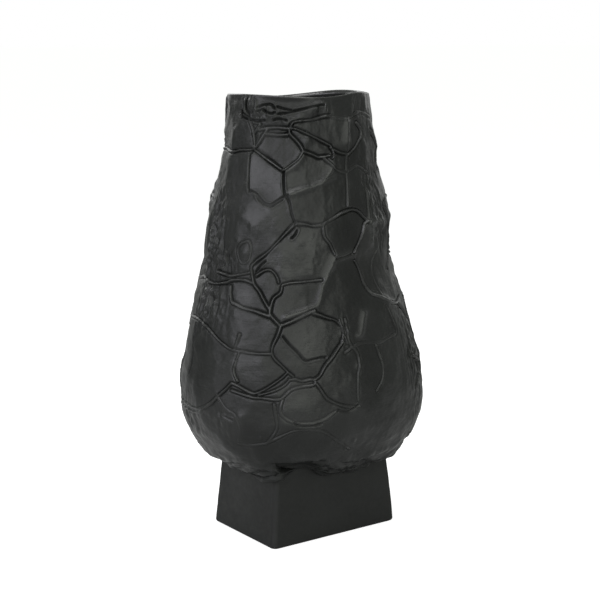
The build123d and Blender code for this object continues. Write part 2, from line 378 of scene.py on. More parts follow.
CORD_WIDTH, CORD_HEIGHT = 1.15, 1.1  # widths are from a line's middle to its side
CORD_PEAK = 1.3  # 1 gives a cord the section of a parabola, and more a narrower top
GROOVE_AT = 1.45  # distance of the side grooves from a cord's middle
GROOVE_WIDTH, GROOVE_DEPTH = 0.65, 0.8
DIP_WIDTH, DIP_DEPTH = 5.0, 0.4  # the panels sink towards the cords
FAINT_STRENGTH = 0.5
CREASE_WIDTH, CREASE_DEPTH = 0.9, 1.1
EDGE_AT, EDGE_WIDTH, EDGE_HEIGHT = 1.9, 0.8, 0.35  # raised edges beside a crease, as shares of its sizes
CREASE_STRENGTH = 0.8  # least strength of a crease
RIDGE_WIDTH, RIDGE_HEIGHT = 3.2, 1.6
RIDGE_POLISH, CORD_POLISH = 0.5, 0.5  # ridges and the tops of cords are rubbed brighter
LINE_REACH = 16.0  # beyond this a line has no effect
CREASE_SHADE = 0.6  # to the shader, a crease is a groove with its painted shade, wider by 1 / CREASE_SHADE
SWELLING, SWELLING_LIMITS = [(41, 9.0, 9.0, 0.17)], (0.75, 1.3)  # cords swell and thin out by this noise
WORKED, WORKED_LIMITS = 0.85, (0.35, 1.15)  # strength of the cords
WORKED_NOISE = [(42, 12.0, 12.0, 0.25)]
LOW_BELLY, LOW_LOSS = (118.0, 142.0), 0.52  # it is less below these levels,
RIGHT_SIDE, RIGHT_LOSS = (24.0, 40.0), 0.15  # less beyond these turns,
UPPER_PART, UPPER_GAIN = (190.0, 230.0), 0.25  # and more above these levels
BACK_START, BACK_END = 70.0, 76.0  # turns over which the front's lines give way to the net behind
BACK_SHIFT = 3.0  # the worked front reaches this much further round on the right
BACK_CELLS, BACK_SEED = 64, 11
BACK_GRID = 6  # the middles of the cells lie on every sixth point of the grid
BACK_TRIES = 14  # a new middle is the one with most room among this many places
BACK_WAVE, BACK_WANDER = 16.0, 3.0  # the borders wander in waves of so many grid steps, and so far
BACK_BATCH = 40000  # points that are looked at in one go, to spare memory
DOUBLED_TURNS = (105.0, 113.0)  # behind these turns the net has doubled cords,
DOUBLED_NOISE, DOUBLED_WHERE = [(31, 22.0, 22.0, 1.0)], (0.2, 0.7)  # where this noise is high
SECOND_CORD = 4.4  # distance of the second cord from the first, with its noise
SECOND_CORD_NOISE = [(32, 12.0, 12.0, 0.5)]
PANEL_GRID = 4  # panels are found on every fourth point of the grid
PANEL_ROOM = 7.0  # a panel needs this much room from the lines around it
PANEL_FLATNESS = 0.95  # 1 makes the panels quite flat
PANEL_LIMIT = 3.0  # most that a point moves to flatten its panel
PANEL_EDGE = 1.8  # blur that rounds the edges between panels
PANEL_ROUNDS = 60  # rounds in which the panels grow
PANEL_SLOW, PANEL_SLOW_WIDTH = 40.0, 2.5  # growth is so much slower within this distance of a line
PANEL_LEAST, PANEL_SAMPLE = 50, 7  # fewest points of a panel, and its plane is found from every seventh
LEAST_SLANT = 0.5


def curve_through(points, steps=5):
    """Catmull-Rom curve through the points of a line."""
    p = np.array(points, float)
    p = np.vstack([2 * p[0] - p[1], p, 2 * p[-1] - p[-2]])
    a, b, c, d = (p[i:len(p) - 3 + i, None] for i in range(4))
    t = (np.arange(steps) / steps)[:, None]
    curve = b + 0.5 * t * (c - a + t * (2 * a - 5 * b + 4 * c - d + t * (3 * b - 3 * c + d - a)))
    return np.vstack([curve.reshape(-1, 2), p[-2]])


def on_skin(points):
    """Grid position (row, column) and place in space of points given by turn and height."""
    columns = (points[:, 0] / 360.0 * COLUMNS) % COLUMNS
    rows = np.interp(points[:, 1], LEVELS, np.arange(ROWS))
    r0 = np.minimum(rows.astype(int), ROWS - 2)
    c0 = columns.astype(int) % COLUMNS
    c1 = (c0 + 1) % COLUMNS
    fr, fc = (rows - r0)[:, None], (columns - columns.astype(int))[:, None]
    low = SMOOTH_SKIN[r0, c0] * (1 - fc) + SMOOTH_SKIN[r0, c1] * fc
    high = SMOOTH_SKIN[r0 + 1, c0] * (1 - fc) + SMOOTH_SKIN[r0 + 1, c1] * fc
    return rows, columns, low * (1 - fr) + high * fr


def distance_to_lines(lines):
    """Distance of every grid point from the nearest of the lines, up to LINE_REACH."""
    nearest = np.full((ROWS, COLUMNS), LINE_REACH)
    row_reach = int(LINE_REACH / ROW_STEP) + 2
    for line in lines:
        rows, columns, places = on_skin(curve_through(line))
        for i in range(len(places) - 1):
            a, b = places[i], places[i + 1]
            column_step = 2.0 * np.pi * np.hypot(a[0], a[1]) / COLUMNS
            column_reach = int(LINE_REACH / column_step) + 3
            low = max(int(rows[i:i + 2].min()) - row_reach, 0)
            high = min(int(rows[i:i + 2].max()) + row_reach, ROWS)
            middle = int(columns[i])
            window = np.arange(middle - column_reach, middle + column_reach) % COLUMNS
            area = SMOOTH_SKIN[low:high][:, window]
            along = b - a
            t = np.clip(((area - a) @ along) / max(along @ along, 1e-9), 0.0, 1.0)
            distance = np.linalg.norm(area - a - t[..., None] * along, axis=2)
            nearest[low:high, window] = np.minimum(nearest[low:high, window], distance)
    return nearest


def back_net():
    """Distance from the borders of a net of uneven cells that covers the whole skin."""
    rng = np.random.default_rng(BACK_SEED)
    shape = (ROWS, COLUMNS)
    wobble = np.stack([noise(BACK_SEED + i, shape, BACK_WAVE, BACK_WAVE) for i in range(3)], axis=2)
    points = (SMOOTH_SKIN + BACK_WANDER * wobble).reshape(-1, 3)
    area = SMOOTH_SKIN[::BACK_GRID, ::BACK_GRID].reshape(-1, 3)
    middles = [area[rng.integers(len(area))]]
    for _ in range(BACK_CELLS - 1):
        tries = area[rng.integers(len(area), size=BACK_TRIES)]
        room = np.linalg.norm(tries[:, None] - np.array(middles)[None], axis=2).min(axis=1)
        middles.append(tries[room.argmax()])
    middles = np.array(middles)
    border = np.empty(len(points))
    for start in range(0, len(points), BACK_BATCH):
        part = points[start:start + BACK_BATCH]
        squared = ((part[:, None] - middles[None]) ** 2).sum(axis=2)
        order = np.argpartition(squared, 1, axis=1)[:, :2]
        picked = np.take_along_axis(squared, order, axis=1)
        gap = np.linalg.norm(middles[order[:, 0]] - middles[order[:, 1]], axis=1)
        border[start:start + BACK_BATCH] = (picked.max(axis=1) - picked.min(axis=1)) / (2.0 * gap)
    return border.reshape(shape)


def cord_profile(distance):
    """Height of a cord and its side grooves, in the dip of the panels towards it."""
    ridge = CORD_HEIGHT * np.clip(1.0 - (distance / CORD_WIDTH) ** 2, 0.0, None) ** CORD_PEAK
    groove = GROOVE_DEPTH * np.exp(-((distance - GROOVE_AT) / GROOVE_WIDTH) ** 2)
    return ridge - groove - DIP_DEPTH * np.exp(-(distance / DIP_WIDTH) ** 2)


def crease_profile(distance):
    """Height of a cut with raised edges."""
    x = distance / CREASE_WIDTH
    return CREASE_DEPTH * (EDGE_HEIGHT * np.exp(-((x - EDGE_AT) / EDGE_WIDTH) ** 2) - np.exp(-x ** 2))


def find_panels(line_distance):
    """Panel of each grid point, and the number of panels. They grow from wide places until they meet."""
    step = PANEL_GRID
    room = line_distance[::step, ::step]
    places = SMOOTH_SKIN[::step, ::step]
    free = np.full(room.shape, np.inf)
    cost = np.full(room.shape, np.inf)
    label = np.zeros(room.shape, int)
    count = 0
    while True:
        score = np.minimum(room, 0.5 * free)
        at = np.unravel_index(score.argmax(), score.shape)
        if score[at] < PANEL_ROOM:
            break
        free = np.minimum(free, np.linalg.norm(places - places[at], axis=2))
        cost[at] = 0.0
        label[at] = count
        count += 1
    slow = 1.0 + PANEL_SLOW * np.exp(-(room / PANEL_SLOW_WIDTH) ** 2)
    moves = [(i, j) for i in (-1, 0, 1) for j in (-1, 0, 1) if (i, j) != (0, 0)]
    for _ in range(PANEL_ROUNDS):
        for i, j in moves:
            other = np.roll(cost, (i, j), axis=(0, 1))
            if i:
                other[0 if i > 0 else -1] = np.inf
            length = np.linalg.norm(places - np.roll(places, (i, j), axis=(0, 1)), axis=2)
            way = other + length * slow
            better = way < cost
            cost = np.where(better, way, cost)
            label = np.where(better, np.roll(label, (i, j), axis=(0, 1)), label)
    full = np.repeat(np.repeat(label, step, axis=0), step, axis=1)
    return full[:ROWS, :COLUMNS], count


def flatten_panels(panel, count, normals):
    """Movement along the normals that brings each panel close to a plane, with rounded edges."""
    move = np.zeros(panel.shape)
    for k in range(count):
        inside = panel == k
        points = SMOOTH_SKIN[inside]
        if len(points) < PANEL_LEAST:
            continue
        middle = points.mean(axis=0)
        facing = np.linalg.svd(points[::PANEL_SAMPLE] - middle, full_matrices=False)[2][2]
        slant = normals[inside] @ facing
        facing = facing * np.sign(slant.mean())
        slant = np.maximum(np.abs(slant), LEAST_SLANT)
        move[inside] = np.clip((middle - points) @ facing / slant, -PANEL_LIMIT, PANEL_LIMIT)
    return PANEL_FLATNESS * blur(move, PANEL_EDGE / ROW_STEP, PANEL_EDGE / ROW_STEP)


# Broad hollows and, where the depth is below 0, swellings: turn, height, spread across, spread up, depth
HOLLOWS = [
    (52, 243, 26, 20, 2.6), (36, 268, 15, 12, 1.2), (0, 252, 22, 18, -1.0),
    (-25, 280, 18, 20, -0.8), (5, 215, 14, 8, 1.0), (-28, 160, 16, 12, -1.0),
    (5, 185, 18, 16, -1.0), (35, 190, 10, 24, 1.0), (0, 130, 12, 10, -1.2), (-45, 250, 6, 50, 0.8),
    (-78, 238, 22, 14, 2.0), (-78, 338, 18, 12, 1.2), (95, 250, 16, 12, 1.0),
    (92, 75, 22, 8.5, 5.0), (-92, 71, 16, 6, 2.8), (-24, 345, 9, 8, 0.7), (66, 330, 16, 22, 0.9),
    (150, 230, 30, 24, 1.8), (-130, 180, 34, 26, 1.6), (120, 300, 22, 26, 1.2),
    (-150, 310, 24, 18, 1.2), (175, 140, 30, 20, -1.2),
]

# Patches of fine upright wrinkles: turn, height, spread in degrees, spread in height, depth
WRINKLES = [
    (-58, 262, 9, 30, 1.15), (-52, 212, 9, 20, 1.05), (-43, 246, 6, 9, 0.85),
    (-42, 371, 6, 8, 0.75), (-25, 366, 12, 6, 0.45), (-66, 110, 12, 18, 0.38),
    (-36, 118, 6, 12, 0.38), (26, 190, 4, 12, 0.52), (22, 370, 4, 5, 0.45), (72, 270, 10, 18, 0.52),
    (62, 300, 10, 18, 0.33), (84, 150, 10, 40, 0.60), (105, 250, 12, 40, 0.45),
    (-110, 290, 14, 30, 0.45), (-160, 200, 12, 30, 0.45), (160, 350, 20, 16, 0.38),
]

# Noise: seed, sizes up and across in grid steps, height
UPRIGHT = [(51, 12.0, 1.6, 1.0), (52, 2.2, 1.8, 0.8)]
UNEVEN_SKIN = [(61, 14.0, 14.0, 0.22), (62, 5.0, 5.0, 0.13), (63, 1.8, 1.8, 0.05)]
SMEARED_CLAY = [(64, 3.0, 13.0, 0.8), (65, 2.0, 4.0, 0.4)]

WORK_START = (BASE_Z + 4.0, BASE_Z + 16.0)  # the work sets in between these levels,
SMEAR_END = (BASE_Z + 8.0, BASE_Z + 20.0)  # above the smeared clay,
LIP_START, LIP_CALM = (RIM_Z - 5.0, RIM_Z), 0.75  # and is weaker at the lip

PANEL_POLISH, PANEL_POLISH_SEED, PANEL_POLISH_BLUR = 0.18, 43, 3.0  # the panels differ so much in polish
RUBBED_SHARE = 0.7  # share of a cord's or a ridge's width that is rubbed

# Patches of painted shade and sheen, which lower and raise the polish where panels lie darker and brighter:
# turn, height, spread across, spread up, change
PAINTED_SHADE_AND_SHEEN = [
    (35, 268, 17, 16, -0.30), (33, 334, 9, 8, -0.45), (50, 315, 16, 34, -0.20),
    (-52, 346, 11, 13, -0.35), (-54, 316, 13, 16, -0.30), (-52, 290, 14, 12, -0.20),
    (-57, 165, 14, 36, -0.48), (-24, 315, 10, 14, 0.10), (-24, 282, 16, 14, 0.12),
    (-28, 293, 12, 12, -0.22), (-30, 217, 8, 8, 0.35), (-27, 162, 12, 12, 0.15),
    (2, 252, 22, 18, 0.20), (0, 185, 14, 18, 0.20), (35, 225, 14, 18, -0.25),
    (60, 260, 15, 20, 0.45), (40, 150, 12, 30, -0.15), (70, 150, 16, 40, -0.20),
    (-20, 95, 60, 18, -0.15),
]


def patch(at_turn, at_height, across, up, power=2, across_in_degrees=False):
    """1 at a place on the skin, and fading around it."""
    beside = turn_between(TURNS, at_turn)
    if not across_in_degrees:
        beside = np.radians(beside) * RADIUS.mean(axis=1)[:, None]
    return np.exp(-(beside / across) ** power - ((LEVELS[:, None] - at_height) / up) ** power)


def find_cords(back):
    """Distance from the cords, where they are pressed flat, and distance from the net behind."""
    cords, faint = distance_to_lines(CORD_LINES), distance_to_lines(FAINT_LINES)
    border = back_net()
    net = border + (1.0 - back) * LINE_REACH
    cords = np.minimum(cords, net)
    flat = faint < cords

    # on part of the net, a second cord runs beside the first
    doubled = smoothstep(*DOUBLED_WHERE, layers(DOUBLED_NOISE, back.shape))
    doubled *= smoothstep(*DOUBLED_TURNS, np.abs(TURNS))
    beside = np.abs(border - SECOND_CORD - layers(SECOND_CORD_NOISE, back.shape))
    beside += (1.0 - doubled) * LINE_REACH
    return np.minimum(np.minimum(cords, faint), beside), flat, net


def cord_strength(back, flat):
    """How strongly the cords are worked."""
    strength = np.clip(WORKED + layers(WORKED_NOISE, back.shape), *WORKED_LIMITS)
    strength *= 1.0 - LOW_LOSS * (1.0 - smoothstep(*LOW_BELLY, LEVELS[:, None]))
    strength *= 1.0 - RIGHT_LOSS * smoothstep(*RIGHT_SIDE, TURNS) * (1.0 - back)
    strength *= 1.0 + UPPER_GAIN * smoothstep(*UPPER_PART, LEVELS[:, None])
    return np.where(flat, FAINT_STRENGTH * strength, strength)


def rubbing_and_painted_light(panel, count, ridges, cords, strength):
    """How much the clay is rubbed, where 1 is usual, with patches of painted shade and sheen added."""
    by_panel = np.random.default_rng(PANEL_POLISH_SEED).uniform(-1.0, 1.0, count)
    polish_and_shade = 1.0 + PANEL_POLISH * blur(by_panel[panel], PANEL_POLISH_BLUR, PANEL_POLISH_BLUR)
    polish_and_shade += RIDGE_POLISH * np.exp(-(ridges / (RUBBED_SHARE * RIDGE_WIDTH)) ** 2)
    polish_and_shade += CORD_POLISH * strength * np.exp(-(cords / (RUBBED_SHARE * CORD_WIDTH)) ** 2)
    # painted shade and sheen, in patches
    for *where, change in PAINTED_SHADE_AND_SHEEN:
        polish_and_shade += change * patch(*where, power=4)
    return polish_and_shade


def relief(normals):
    """Rise of the skin over the smooth form, distance from the cords, polish with painted shade and sheen, and
    strength of the cords.
    """
    shape, height = (ROWS, COLUMNS), LEVELS[:, None]
    back = smoothstep(BACK_START, BACK_END, np.abs(TURNS - BACK_SHIFT)) * np.ones(shape)
    lines, flat, net = find_cords(back)
    creases, ridges = distance_to_lines(CREASE_LINES), distance_to_lines(RIDGE_LINES)
    cords = lines / np.clip(1.0 + layers(SWELLING, shape), *SWELLING_LIMITS)
    strength = cord_strength(back, flat)
    rise = cord_profile(cords) * strength
    rise += crease_profile(creases) * np.maximum(strength, CREASE_STRENGTH)
    rise += RIDGE_HEIGHT * np.exp(-(ridges / RIDGE_WIDTH) ** 2)

    # to the shader, the middle of a crease looks like the groove beside a cord, so it gets the groove's
    # painted shade
    nearer = CREASE_SHADE * creases < np.abs(cords - GROOVE_AT)
    cords = np.where(nearer, GROOVE_AT + CREASE_SHADE * creases, cords)

    panel, count = find_panels(np.minimum.reduce([lines, creases, ridges, net]))
    rise += flatten_panels(panel, count, normals)
    polish_and_shade = rubbing_and_painted_light(panel, count, ridges, cords, strength)
    for *where, radius, lump in LUMPS:
        rise += lump * patch(*where, radius, radius)
    upright = layers(UPRIGHT, shape)
    for *where, depth in WRINKLES:
        rise += depth * upright * patch(*where, across_in_degrees=True)
    rise += layers(UNEVEN_SKIN, shape)

    rise *= smoothstep(*WORK_START, height) * (1.0 - LIP_CALM * smoothstep(*LIP_START, height))
    for *where, depth in HOLLOWS:
        rise -= depth * patch(*where)
    rise += (1.0 - smoothstep(*SMEAR_END, height)) * layers(SMEARED_CLAY, shape)
    return rise, cords, polish_and_shade, strength


SKIN_NORMALS = grid_normals(SMOOTH_SKIN)
RISE, CORD_DISTANCE, POLISH_AND_SHADE, STRENGTH = relief(SKIN_NORMALS)
OUTSIDE = SMOOTH_SKIN + SKIN_NORMALS * RISE[..., None]

# the bare front is cut back to the face of the foot
FOOT_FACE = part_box("foot")[0].y / MM * FOOT_TOP_SHARE
BARE = (1.0 - smoothstep(BARE_TOP - BARE_STEP, BARE_TOP, LEVELS))[:, None] * bare(TURNS)[None, :]
OUTSIDE[..., 1] += BARE * (np.maximum(OUTSIDE[..., 1], FOOT_FACE - BARE_PROUD) - OUTSIDE[..., 1])
POLISH_AND_SHADE = POLISH_AND_SHADE + BARE * (BARE_POLISH - POLISH_AND_SHADE)


# ---- lip, inside and floor

INSIDE_NOISE = [(71, 1.5, 14.0, 0.25)]


def inner_levels():
    """Row heights inside, with rows where the bowl, wall and collar meet."""
    near = np.arange(INNER_TOP, RIM_Z - INNER_NEAR_DEPTH, -INNER_STEP_NEAR)
    far = np.arange(near[-1] - INNER_STEP_FAR, FLOOR_Z + INNER_STEP_FAR / 2, -INNER_STEP_FAR)
    fixed = [COLLAR_Z + COLLAR_LAP, SCARF_Z - SCARF_DROP, *(FLOOR_Z + up for up in INNER_FOOT_ROWS)]
    return np.array(sorted({*near.tolist(), *far.tolist(), *fixed}, reverse=True))


def inner_rings():
    """Heights and rows down the inside of the wall, in the same columns as the outside."""
    levels = inner_levels()
    centres = axis_at(levels)
    radius = np.array([probe_ring(min(z, PROBE_TOP), c, False) for z, c in zip(levels, centres)])
    radius = blur(radius, 0.0, SMOOTHING) + layers(INSIDE_NOISE, radius.shape)
    return levels, place(levels, centres, radius)


def lip_rings(outer, inner):
    """Rounded lip between the top row outside and the first row inside."""
    angle = math.pi * np.arange(1, LIP_STEPS)[:, None] / LIP_STEPS
    half = 0.5 * (outer - inner)
    rings = 0.5 * (outer + inner) + half * np.cos(angle)[..., None]
    rings[..., 2] += (RIM - 0.5 * (outer + inner)[:, 2]) * np.sin(angle)
    return rings


def shrinking_rings(ring, z, count):
    """Rings that close a flat floor towards its middle."""
    middle = ring.mean(axis=0)
    rings = middle + (ring - middle) * (1.0 - np.arange(1, count + 1)[:, None, None] / (count + 1.0))
    rings[..., 2] = z
    return rings


# ---- pieces from rings

ATTRIBUTES = ("cord", "rise", "polish_and_shade", "strength")


def new_object(name, data):
    """Object with the data, put into the scene."""
    made = bpy.data.objects.new(name, data)
    bpy.context.scene.collection.objects.link(made)
    return made


def add_piece(name, node, slot, rings, closed, values, normals=None):
    """Piece that replaces a CAD node, made of rings of points. Its last ring is joined to the first, or else
    each end is capped by a fan. Values are the ATTRIBUTES at each point. Normals replace the shading's own."""
    count, columns = rings.shape[:2]
    points = count * columns
    vertices = rings.reshape(-1, 3) * MM
    row = np.arange(count if closed else count - 1)[:, None]
    column = np.arange(columns)[None, :]
    right = (column + 1) % columns
    here, above = row * columns, ((row + 1) % count) * columns
    quads = np.stack([here + column, here + right, above + right, above + column], axis=2)
    faces = quads.reshape(-1, 4).tolist()
    corners = [((column + i) / columns, (row + j) / count) for i, j in ((0, 0), (1, 0), (1, 1), (0, 1))]
    uv = np.stack([np.stack(np.broadcast_arrays(u, v), 2) for u, v in corners], axis=2).reshape(-1, 2)
    if not closed:
        for end, flip in ((0, True), (count - 1, False)):
            centre = np.full(columns, len(vertices))
            vertices = np.vstack([vertices, rings[end].mean(axis=0) * MM])
            a, b = end * columns + column[0], end * columns + right[0]
            faces += np.stack([b, a, centre] if flip else [a, b, centre], axis=1).tolist()
            fan_uv = np.column_stack([column[0] / columns, np.full(columns, (end + 0.5) / count)])
            uv = np.vstack([uv, np.repeat(fan_uv, 3, axis=0)])
    mesh = bpy.data.meshes.new(name)
    mesh.from_pydata(vertices.tolist(), [], faces, shade_flat=False)
    mesh.uv_layers.new(name="OFBake").data.foreach_set("uv", uv.astype(np.float32).ravel())
    mesh.validate()
    for key, value in zip(ATTRIBUTES, values):
        flat = np.zeros(len(vertices), np.float32)
        flat[:points] = np.broadcast_to(value, (count, columns)).ravel()
        mesh.attributes.new(key, "FLOAT", "POINT").data.foreach_set("value", flat)
    if normals is not None:
        flat = np.zeros((len(vertices), 3), np.float32)
        flat[:points] = normals.reshape(-1, 3)
        mesh.normals_split_custom_set_from_vertices([tuple(n) for n in flat])
    mesh.materials.append(CLAYS[slot])
    piece = new_object(name, mesh)
    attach(piece, "root")
    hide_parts(node)


# ---- clay

DEEP = (0.008, 0.0085, 0.008)  # the clay's darkest colour
CLOUD = (22.0, 3.0)  # scale and detail of the clay's noises, from coarse to fine
MOTTLE = (240.0, 4.0)
GRAIN = (1500.0, 2.0)
STREAKS = (110.0, 110.0, 700.0)  # the burnishing streaks run round the pot, so they are finest upwards
STREAK_DETAIL = (1.0, 2.0, 0.5)  # scale, detail and roughness
NOISE_RANGE = (0.3, 0.7)
RUBBED = 0.9  # the clay turns from dull to rubbed between -RUBBED and RUBBED of rise, and its colour from painted shade in the low places to lighter on what stands proud
RUBBED_AND_SHADED_TONE, NOISE_TONE = 0.5, 0.25  # shares of the clay's lighter colour; the first makes what stands proud lighter and what lies low darker, partly rubbing wear and partly painted shade
LOW_ROUGHNESS, HIGH_ROUGHNESS = 0.06, -0.05  # changes of the roughness
MOTTLE_ROUGHNESS, CLOUD_ROUGHNESS = 0.04, 0.03
GROOVE_ROUGHNESS, POLISH_ROUGHNESS = 0.15, -0.12
SHINE = 0.45  # strength of the clay's mirror reflection,
GROOVE_SHINE = 0.3  # and the share of it that is left in a groove, which dims it as painted shade
GROOVE_SHADE = 0.55  # the painted shade of a groove fades out this far from its middle
GROOVE_BUMP = -0.0002
FINE_SHARE, STREAK_SHARE = 0.25, 0.6  # bump of the grain and the streaks, as shares of the mottle's


def empty_tree(block):
    """Node tree of a material or a world, with no nodes yet."""
    block.use_nodes = True
    block.node_tree.nodes.clear()
    return block.node_tree


def add_node(tree, kind, **inputs):
    node = tree.nodes.new(kind)
    for key, value in inputs.items():
        node.inputs[key].default_value = value
    return node


def noise_value(tree, coords, scale, detail, rough=0.55):
    node = add_node(tree, "ShaderNodeTexNoise", Scale=scale, Detail=detail, Roughness=rough)
    tree.links.new(coords, node.inputs["Vector"])
    return node.outputs["Fac"]


def mesh_value(tree, key):
    """Value that the mesh carries at each point."""
    node = tree.nodes.new("ShaderNodeAttribute")
    node.attribute_name = key
    return node.outputs["Fac"]


def spread(tree, value, low, high, to_low, to_high):
    """Maps a value from one range to another."""
    node = tree.nodes.new("ShaderNodeMapRange")
    node.interpolation_type = "SMOOTHSTEP"
    for socket, number in zip(node.inputs[1:], (low, high, to_low, to_high)):
        socket.default_value = number
    tree.links.new(value, node.inputs["Value"])
    return node.outputs["Result"]


def combine(tree, operation, a, b=0.0):
    node = tree.nodes.new("ShaderNodeMath")
    node.operation = operation
    for socket, value in zip(node.inputs, (a, b)):
        if isinstance(value, float):
            socket.default_value = value
        else:
            tree.links.new(value, socket)
    return node.outputs["Value"]


def black_clay(name, high, roughness, bump_height):
    """Smoke-fired black clay: dull in the grooves, rubbed to a soft shine on what stands proud. Its colour is
    darker where the skin lies low, and its grooves reflect less, as painted shade.
    """
    material = bpy.data.materials.new(name)
    tree = empty_tree(material)
    add, times, minus = (partial(combine, tree, kind) for kind in ("ADD", "MULTIPLY", "SUBTRACT"))
    coords = tree.nodes.new("ShaderNodeTexCoord").outputs["Object"]
    cord, rise, polish_and_shade, strength = (mesh_value(tree, key) for key in ATTRIBUTES)
    cloud, mottle, fine = (noise_value(tree, coords, *sizes) for sizes in (CLOUD, MOTTLE, GRAIN))

    # colour: lighter on what stands proud and darker where the skin lies low, partly rubbing wear and partly
    # painted shade
    rubbed_and_shaded = spread(tree, rise, -RUBBED, RUBBED, 0.0, 1.0)
    mix = tree.nodes.new("ShaderNodeMix")
    mix.data_type = "RGBA"
    mix.inputs["A"].default_value = (*DEEP, 1.0)
    mix.inputs["B"].default_value = (*high, 1.0)
    tone = add(times(rubbed_and_shaded, RUBBED_AND_SHADED_TONE), times(add(cloud, mottle), NOISE_TONE))
    tree.links.new(tone, mix.inputs["Factor"])

    # narrow groove at each side of a cord, whose reflection is dimmed as painted shade
    beside = combine(tree, "ABSOLUTE", minus(cord, GROOVE_AT))
    groove = times(spread(tree, beside, 0.0, GROOVE_SHADE, 1.0, 0.0), strength)
    shine = times(spread(tree, groove, 0.0, 1.0, SHINE, GROOVE_SHINE * SHINE), polish_and_shade)

    dull = spread(tree, rise, -RUBBED, RUBBED, roughness + LOW_ROUGHNESS, roughness + HIGH_ROUGHNESS)
    for value, change in ((mottle, MOTTLE_ROUGHNESS), (cloud, CLOUD_ROUGHNESS)):
        dull = add(dull, spread(tree, value, *NOISE_RANGE, -change, change))
    dull = add(dull, times(groove, GROOVE_ROUGHNESS))
    dull = add(dull, times(minus(polish_and_shade, 1.0), POLISH_ROUGHNESS))

    # the clay's grain, and the fine streaks that the burnishing stone leaves
    stretched = add_node(tree, "ShaderNodeMapping", Scale=STREAKS)
    tree.links.new(coords, stretched.inputs["Vector"])
    streaks = noise_value(tree, stretched.outputs["Vector"], *STREAK_DETAIL)
    height = add(times(mottle, bump_height), times(fine, FINE_SHARE * bump_height))
    height = add(add(times(groove, GROOVE_BUMP), height), times(streaks, STREAK_SHARE * bump_height))
    bump = add_node(tree, "ShaderNodeBump", Strength=1.0, Distance=1.0)
    tree.links.new(height, bump.inputs["Height"])

    clay = tree.nodes.new("ShaderNodeBsdfPrincipled")
    links = {"Base Color": mix.outputs["Result"], "Roughness": dull, "Specular IOR Level": shine,
             "Normal": bump.outputs["Normal"]}
    for key, value in links.items():
        tree.links.new(value, clay.inputs[key])
    output = tree.nodes.new("ShaderNodeOutputMaterial")
    tree.links.new(clay.outputs["BSDF"], output.inputs["Surface"])
    return material


# The frame's materials hold these names already, so a piece is given its slot by the name here.
CLAYS = {
    "ribbed_clay": black_clay("ribbed_clay", high=(0.017, 0.018, 0.017), roughness=0.39, bump_height=0.00024),
    "plain_clay": black_clay("plain_clay", high=(0.014, 0.015, 0.014), roughness=0.60, bump_height=0.00008),
}


# ---- vessel pieces

# the inside is left unburnished, and its reflection is dimmed further as painted shade within the mouth
INSIDE_POLISH_AND_SHADE = 0.25
LIP_POLISH = 3.0


def vessel():
    """Bowl, wall and collar, cut from one continuous skin so that light runs on over the joints."""
    levels_in, inside = inner_rings()
    lip = lip_rings(OUTSIDE[-1], inside[0])
    floor = shrinking_rings(inside[-1], FLOOR_Z, FLOOR_RINGS)
    under = shrinking_rings(OUTSIDE[0], BASE_Z, UNDER_RINGS)[::-1]

    rings = np.concatenate([under, OUTSIDE, lip, inside, floor])
    normals = grid_normals(rings)
    first_out, first_lip = len(under), len(under) + ROWS
    first_in = first_lip + len(lip)

    def over_all(on_outside, elsewhere, on_lip):
        """Values of the whole skin, of which only the outside's vary."""
        whole = np.full(rings.shape[:2], elsewhere)
        whole[first_out:first_lip] = on_outside
        whole[first_lip:first_in] = on_lip
        return whole

    # inside, the low polish is unburnished clay together with painted shade
    values = (over_all(CORD_DISTANCE, LINE_REACH, LINE_REACH), over_all(RISE, 0.0, 0.0),
              over_all(POLISH_AND_SHADE, INSIDE_POLISH_AND_SHADE, LIP_POLISH), over_all(STRENGTH, 0.0, 0.0))

    scarf_out = first_out + int(np.searchsorted(LEVELS, SCARF_Z))
    collar_out = first_out + int(np.searchsorted(LEVELS, COLLAR_Z))
    scarf_in = first_in + int(np.argmin(np.abs(levels_in - (SCARF_Z - SCARF_DROP))))
    collar_in = first_in + int(np.argmin(np.abs(levels_in - (COLLAR_Z + COLLAR_LAP))))

    def cut(node, spans, closed):
        rows = np.concatenate([np.arange(a, b) for a, b in spans])
        here = [value[rows] for value in values]
        add_piece(node + "_skin", node, "ribbed_clay", rings[rows], closed, here, normals[rows])

    cut("collar", [(collar_out, collar_in + 1)], True)
    cut("upper_wall", [(scarf_out, collar_out + 1), (collar_in, scarf_in + 1)], True)
    cut("belly_bowl", [(0, scarf_out + 1), (scarf_in, len(rings))], False)


# ---- luting coil

COIL_SIDES, COIL_STEPS = 28, 520
COIL_POLISH = 0.8
COIL_INSET, COIL_CORNER = 8.0, 9.0  # it runs round a rectangle that is this much smaller than its CAD box
COIL_RADIUS = 4.6
COIL_SWELLING = [(81, 0.0, 12.0, 1.1), (82, 0.0, 3.0, 0.5)]
COIL_WAVES = [(83, 0.0, 8.0, 1.0)]
COIL_FOLDS, COIL_SLANT = [(84, 1.4, 7.0, 0.8)], 3  # thumbed folds, and the steps that each row is shifted on
COIL_GRAIN = [(85, 1.2, 1.6, 0.3)]
COIL_LIFT, COIL_SQUASH = 0.6, 0.9
BARE_THINNING, BARE_INWARDS = 0.9, 3.5  # at the bare front the coil is thin, and lies further in
CORNER_STEPS = 12


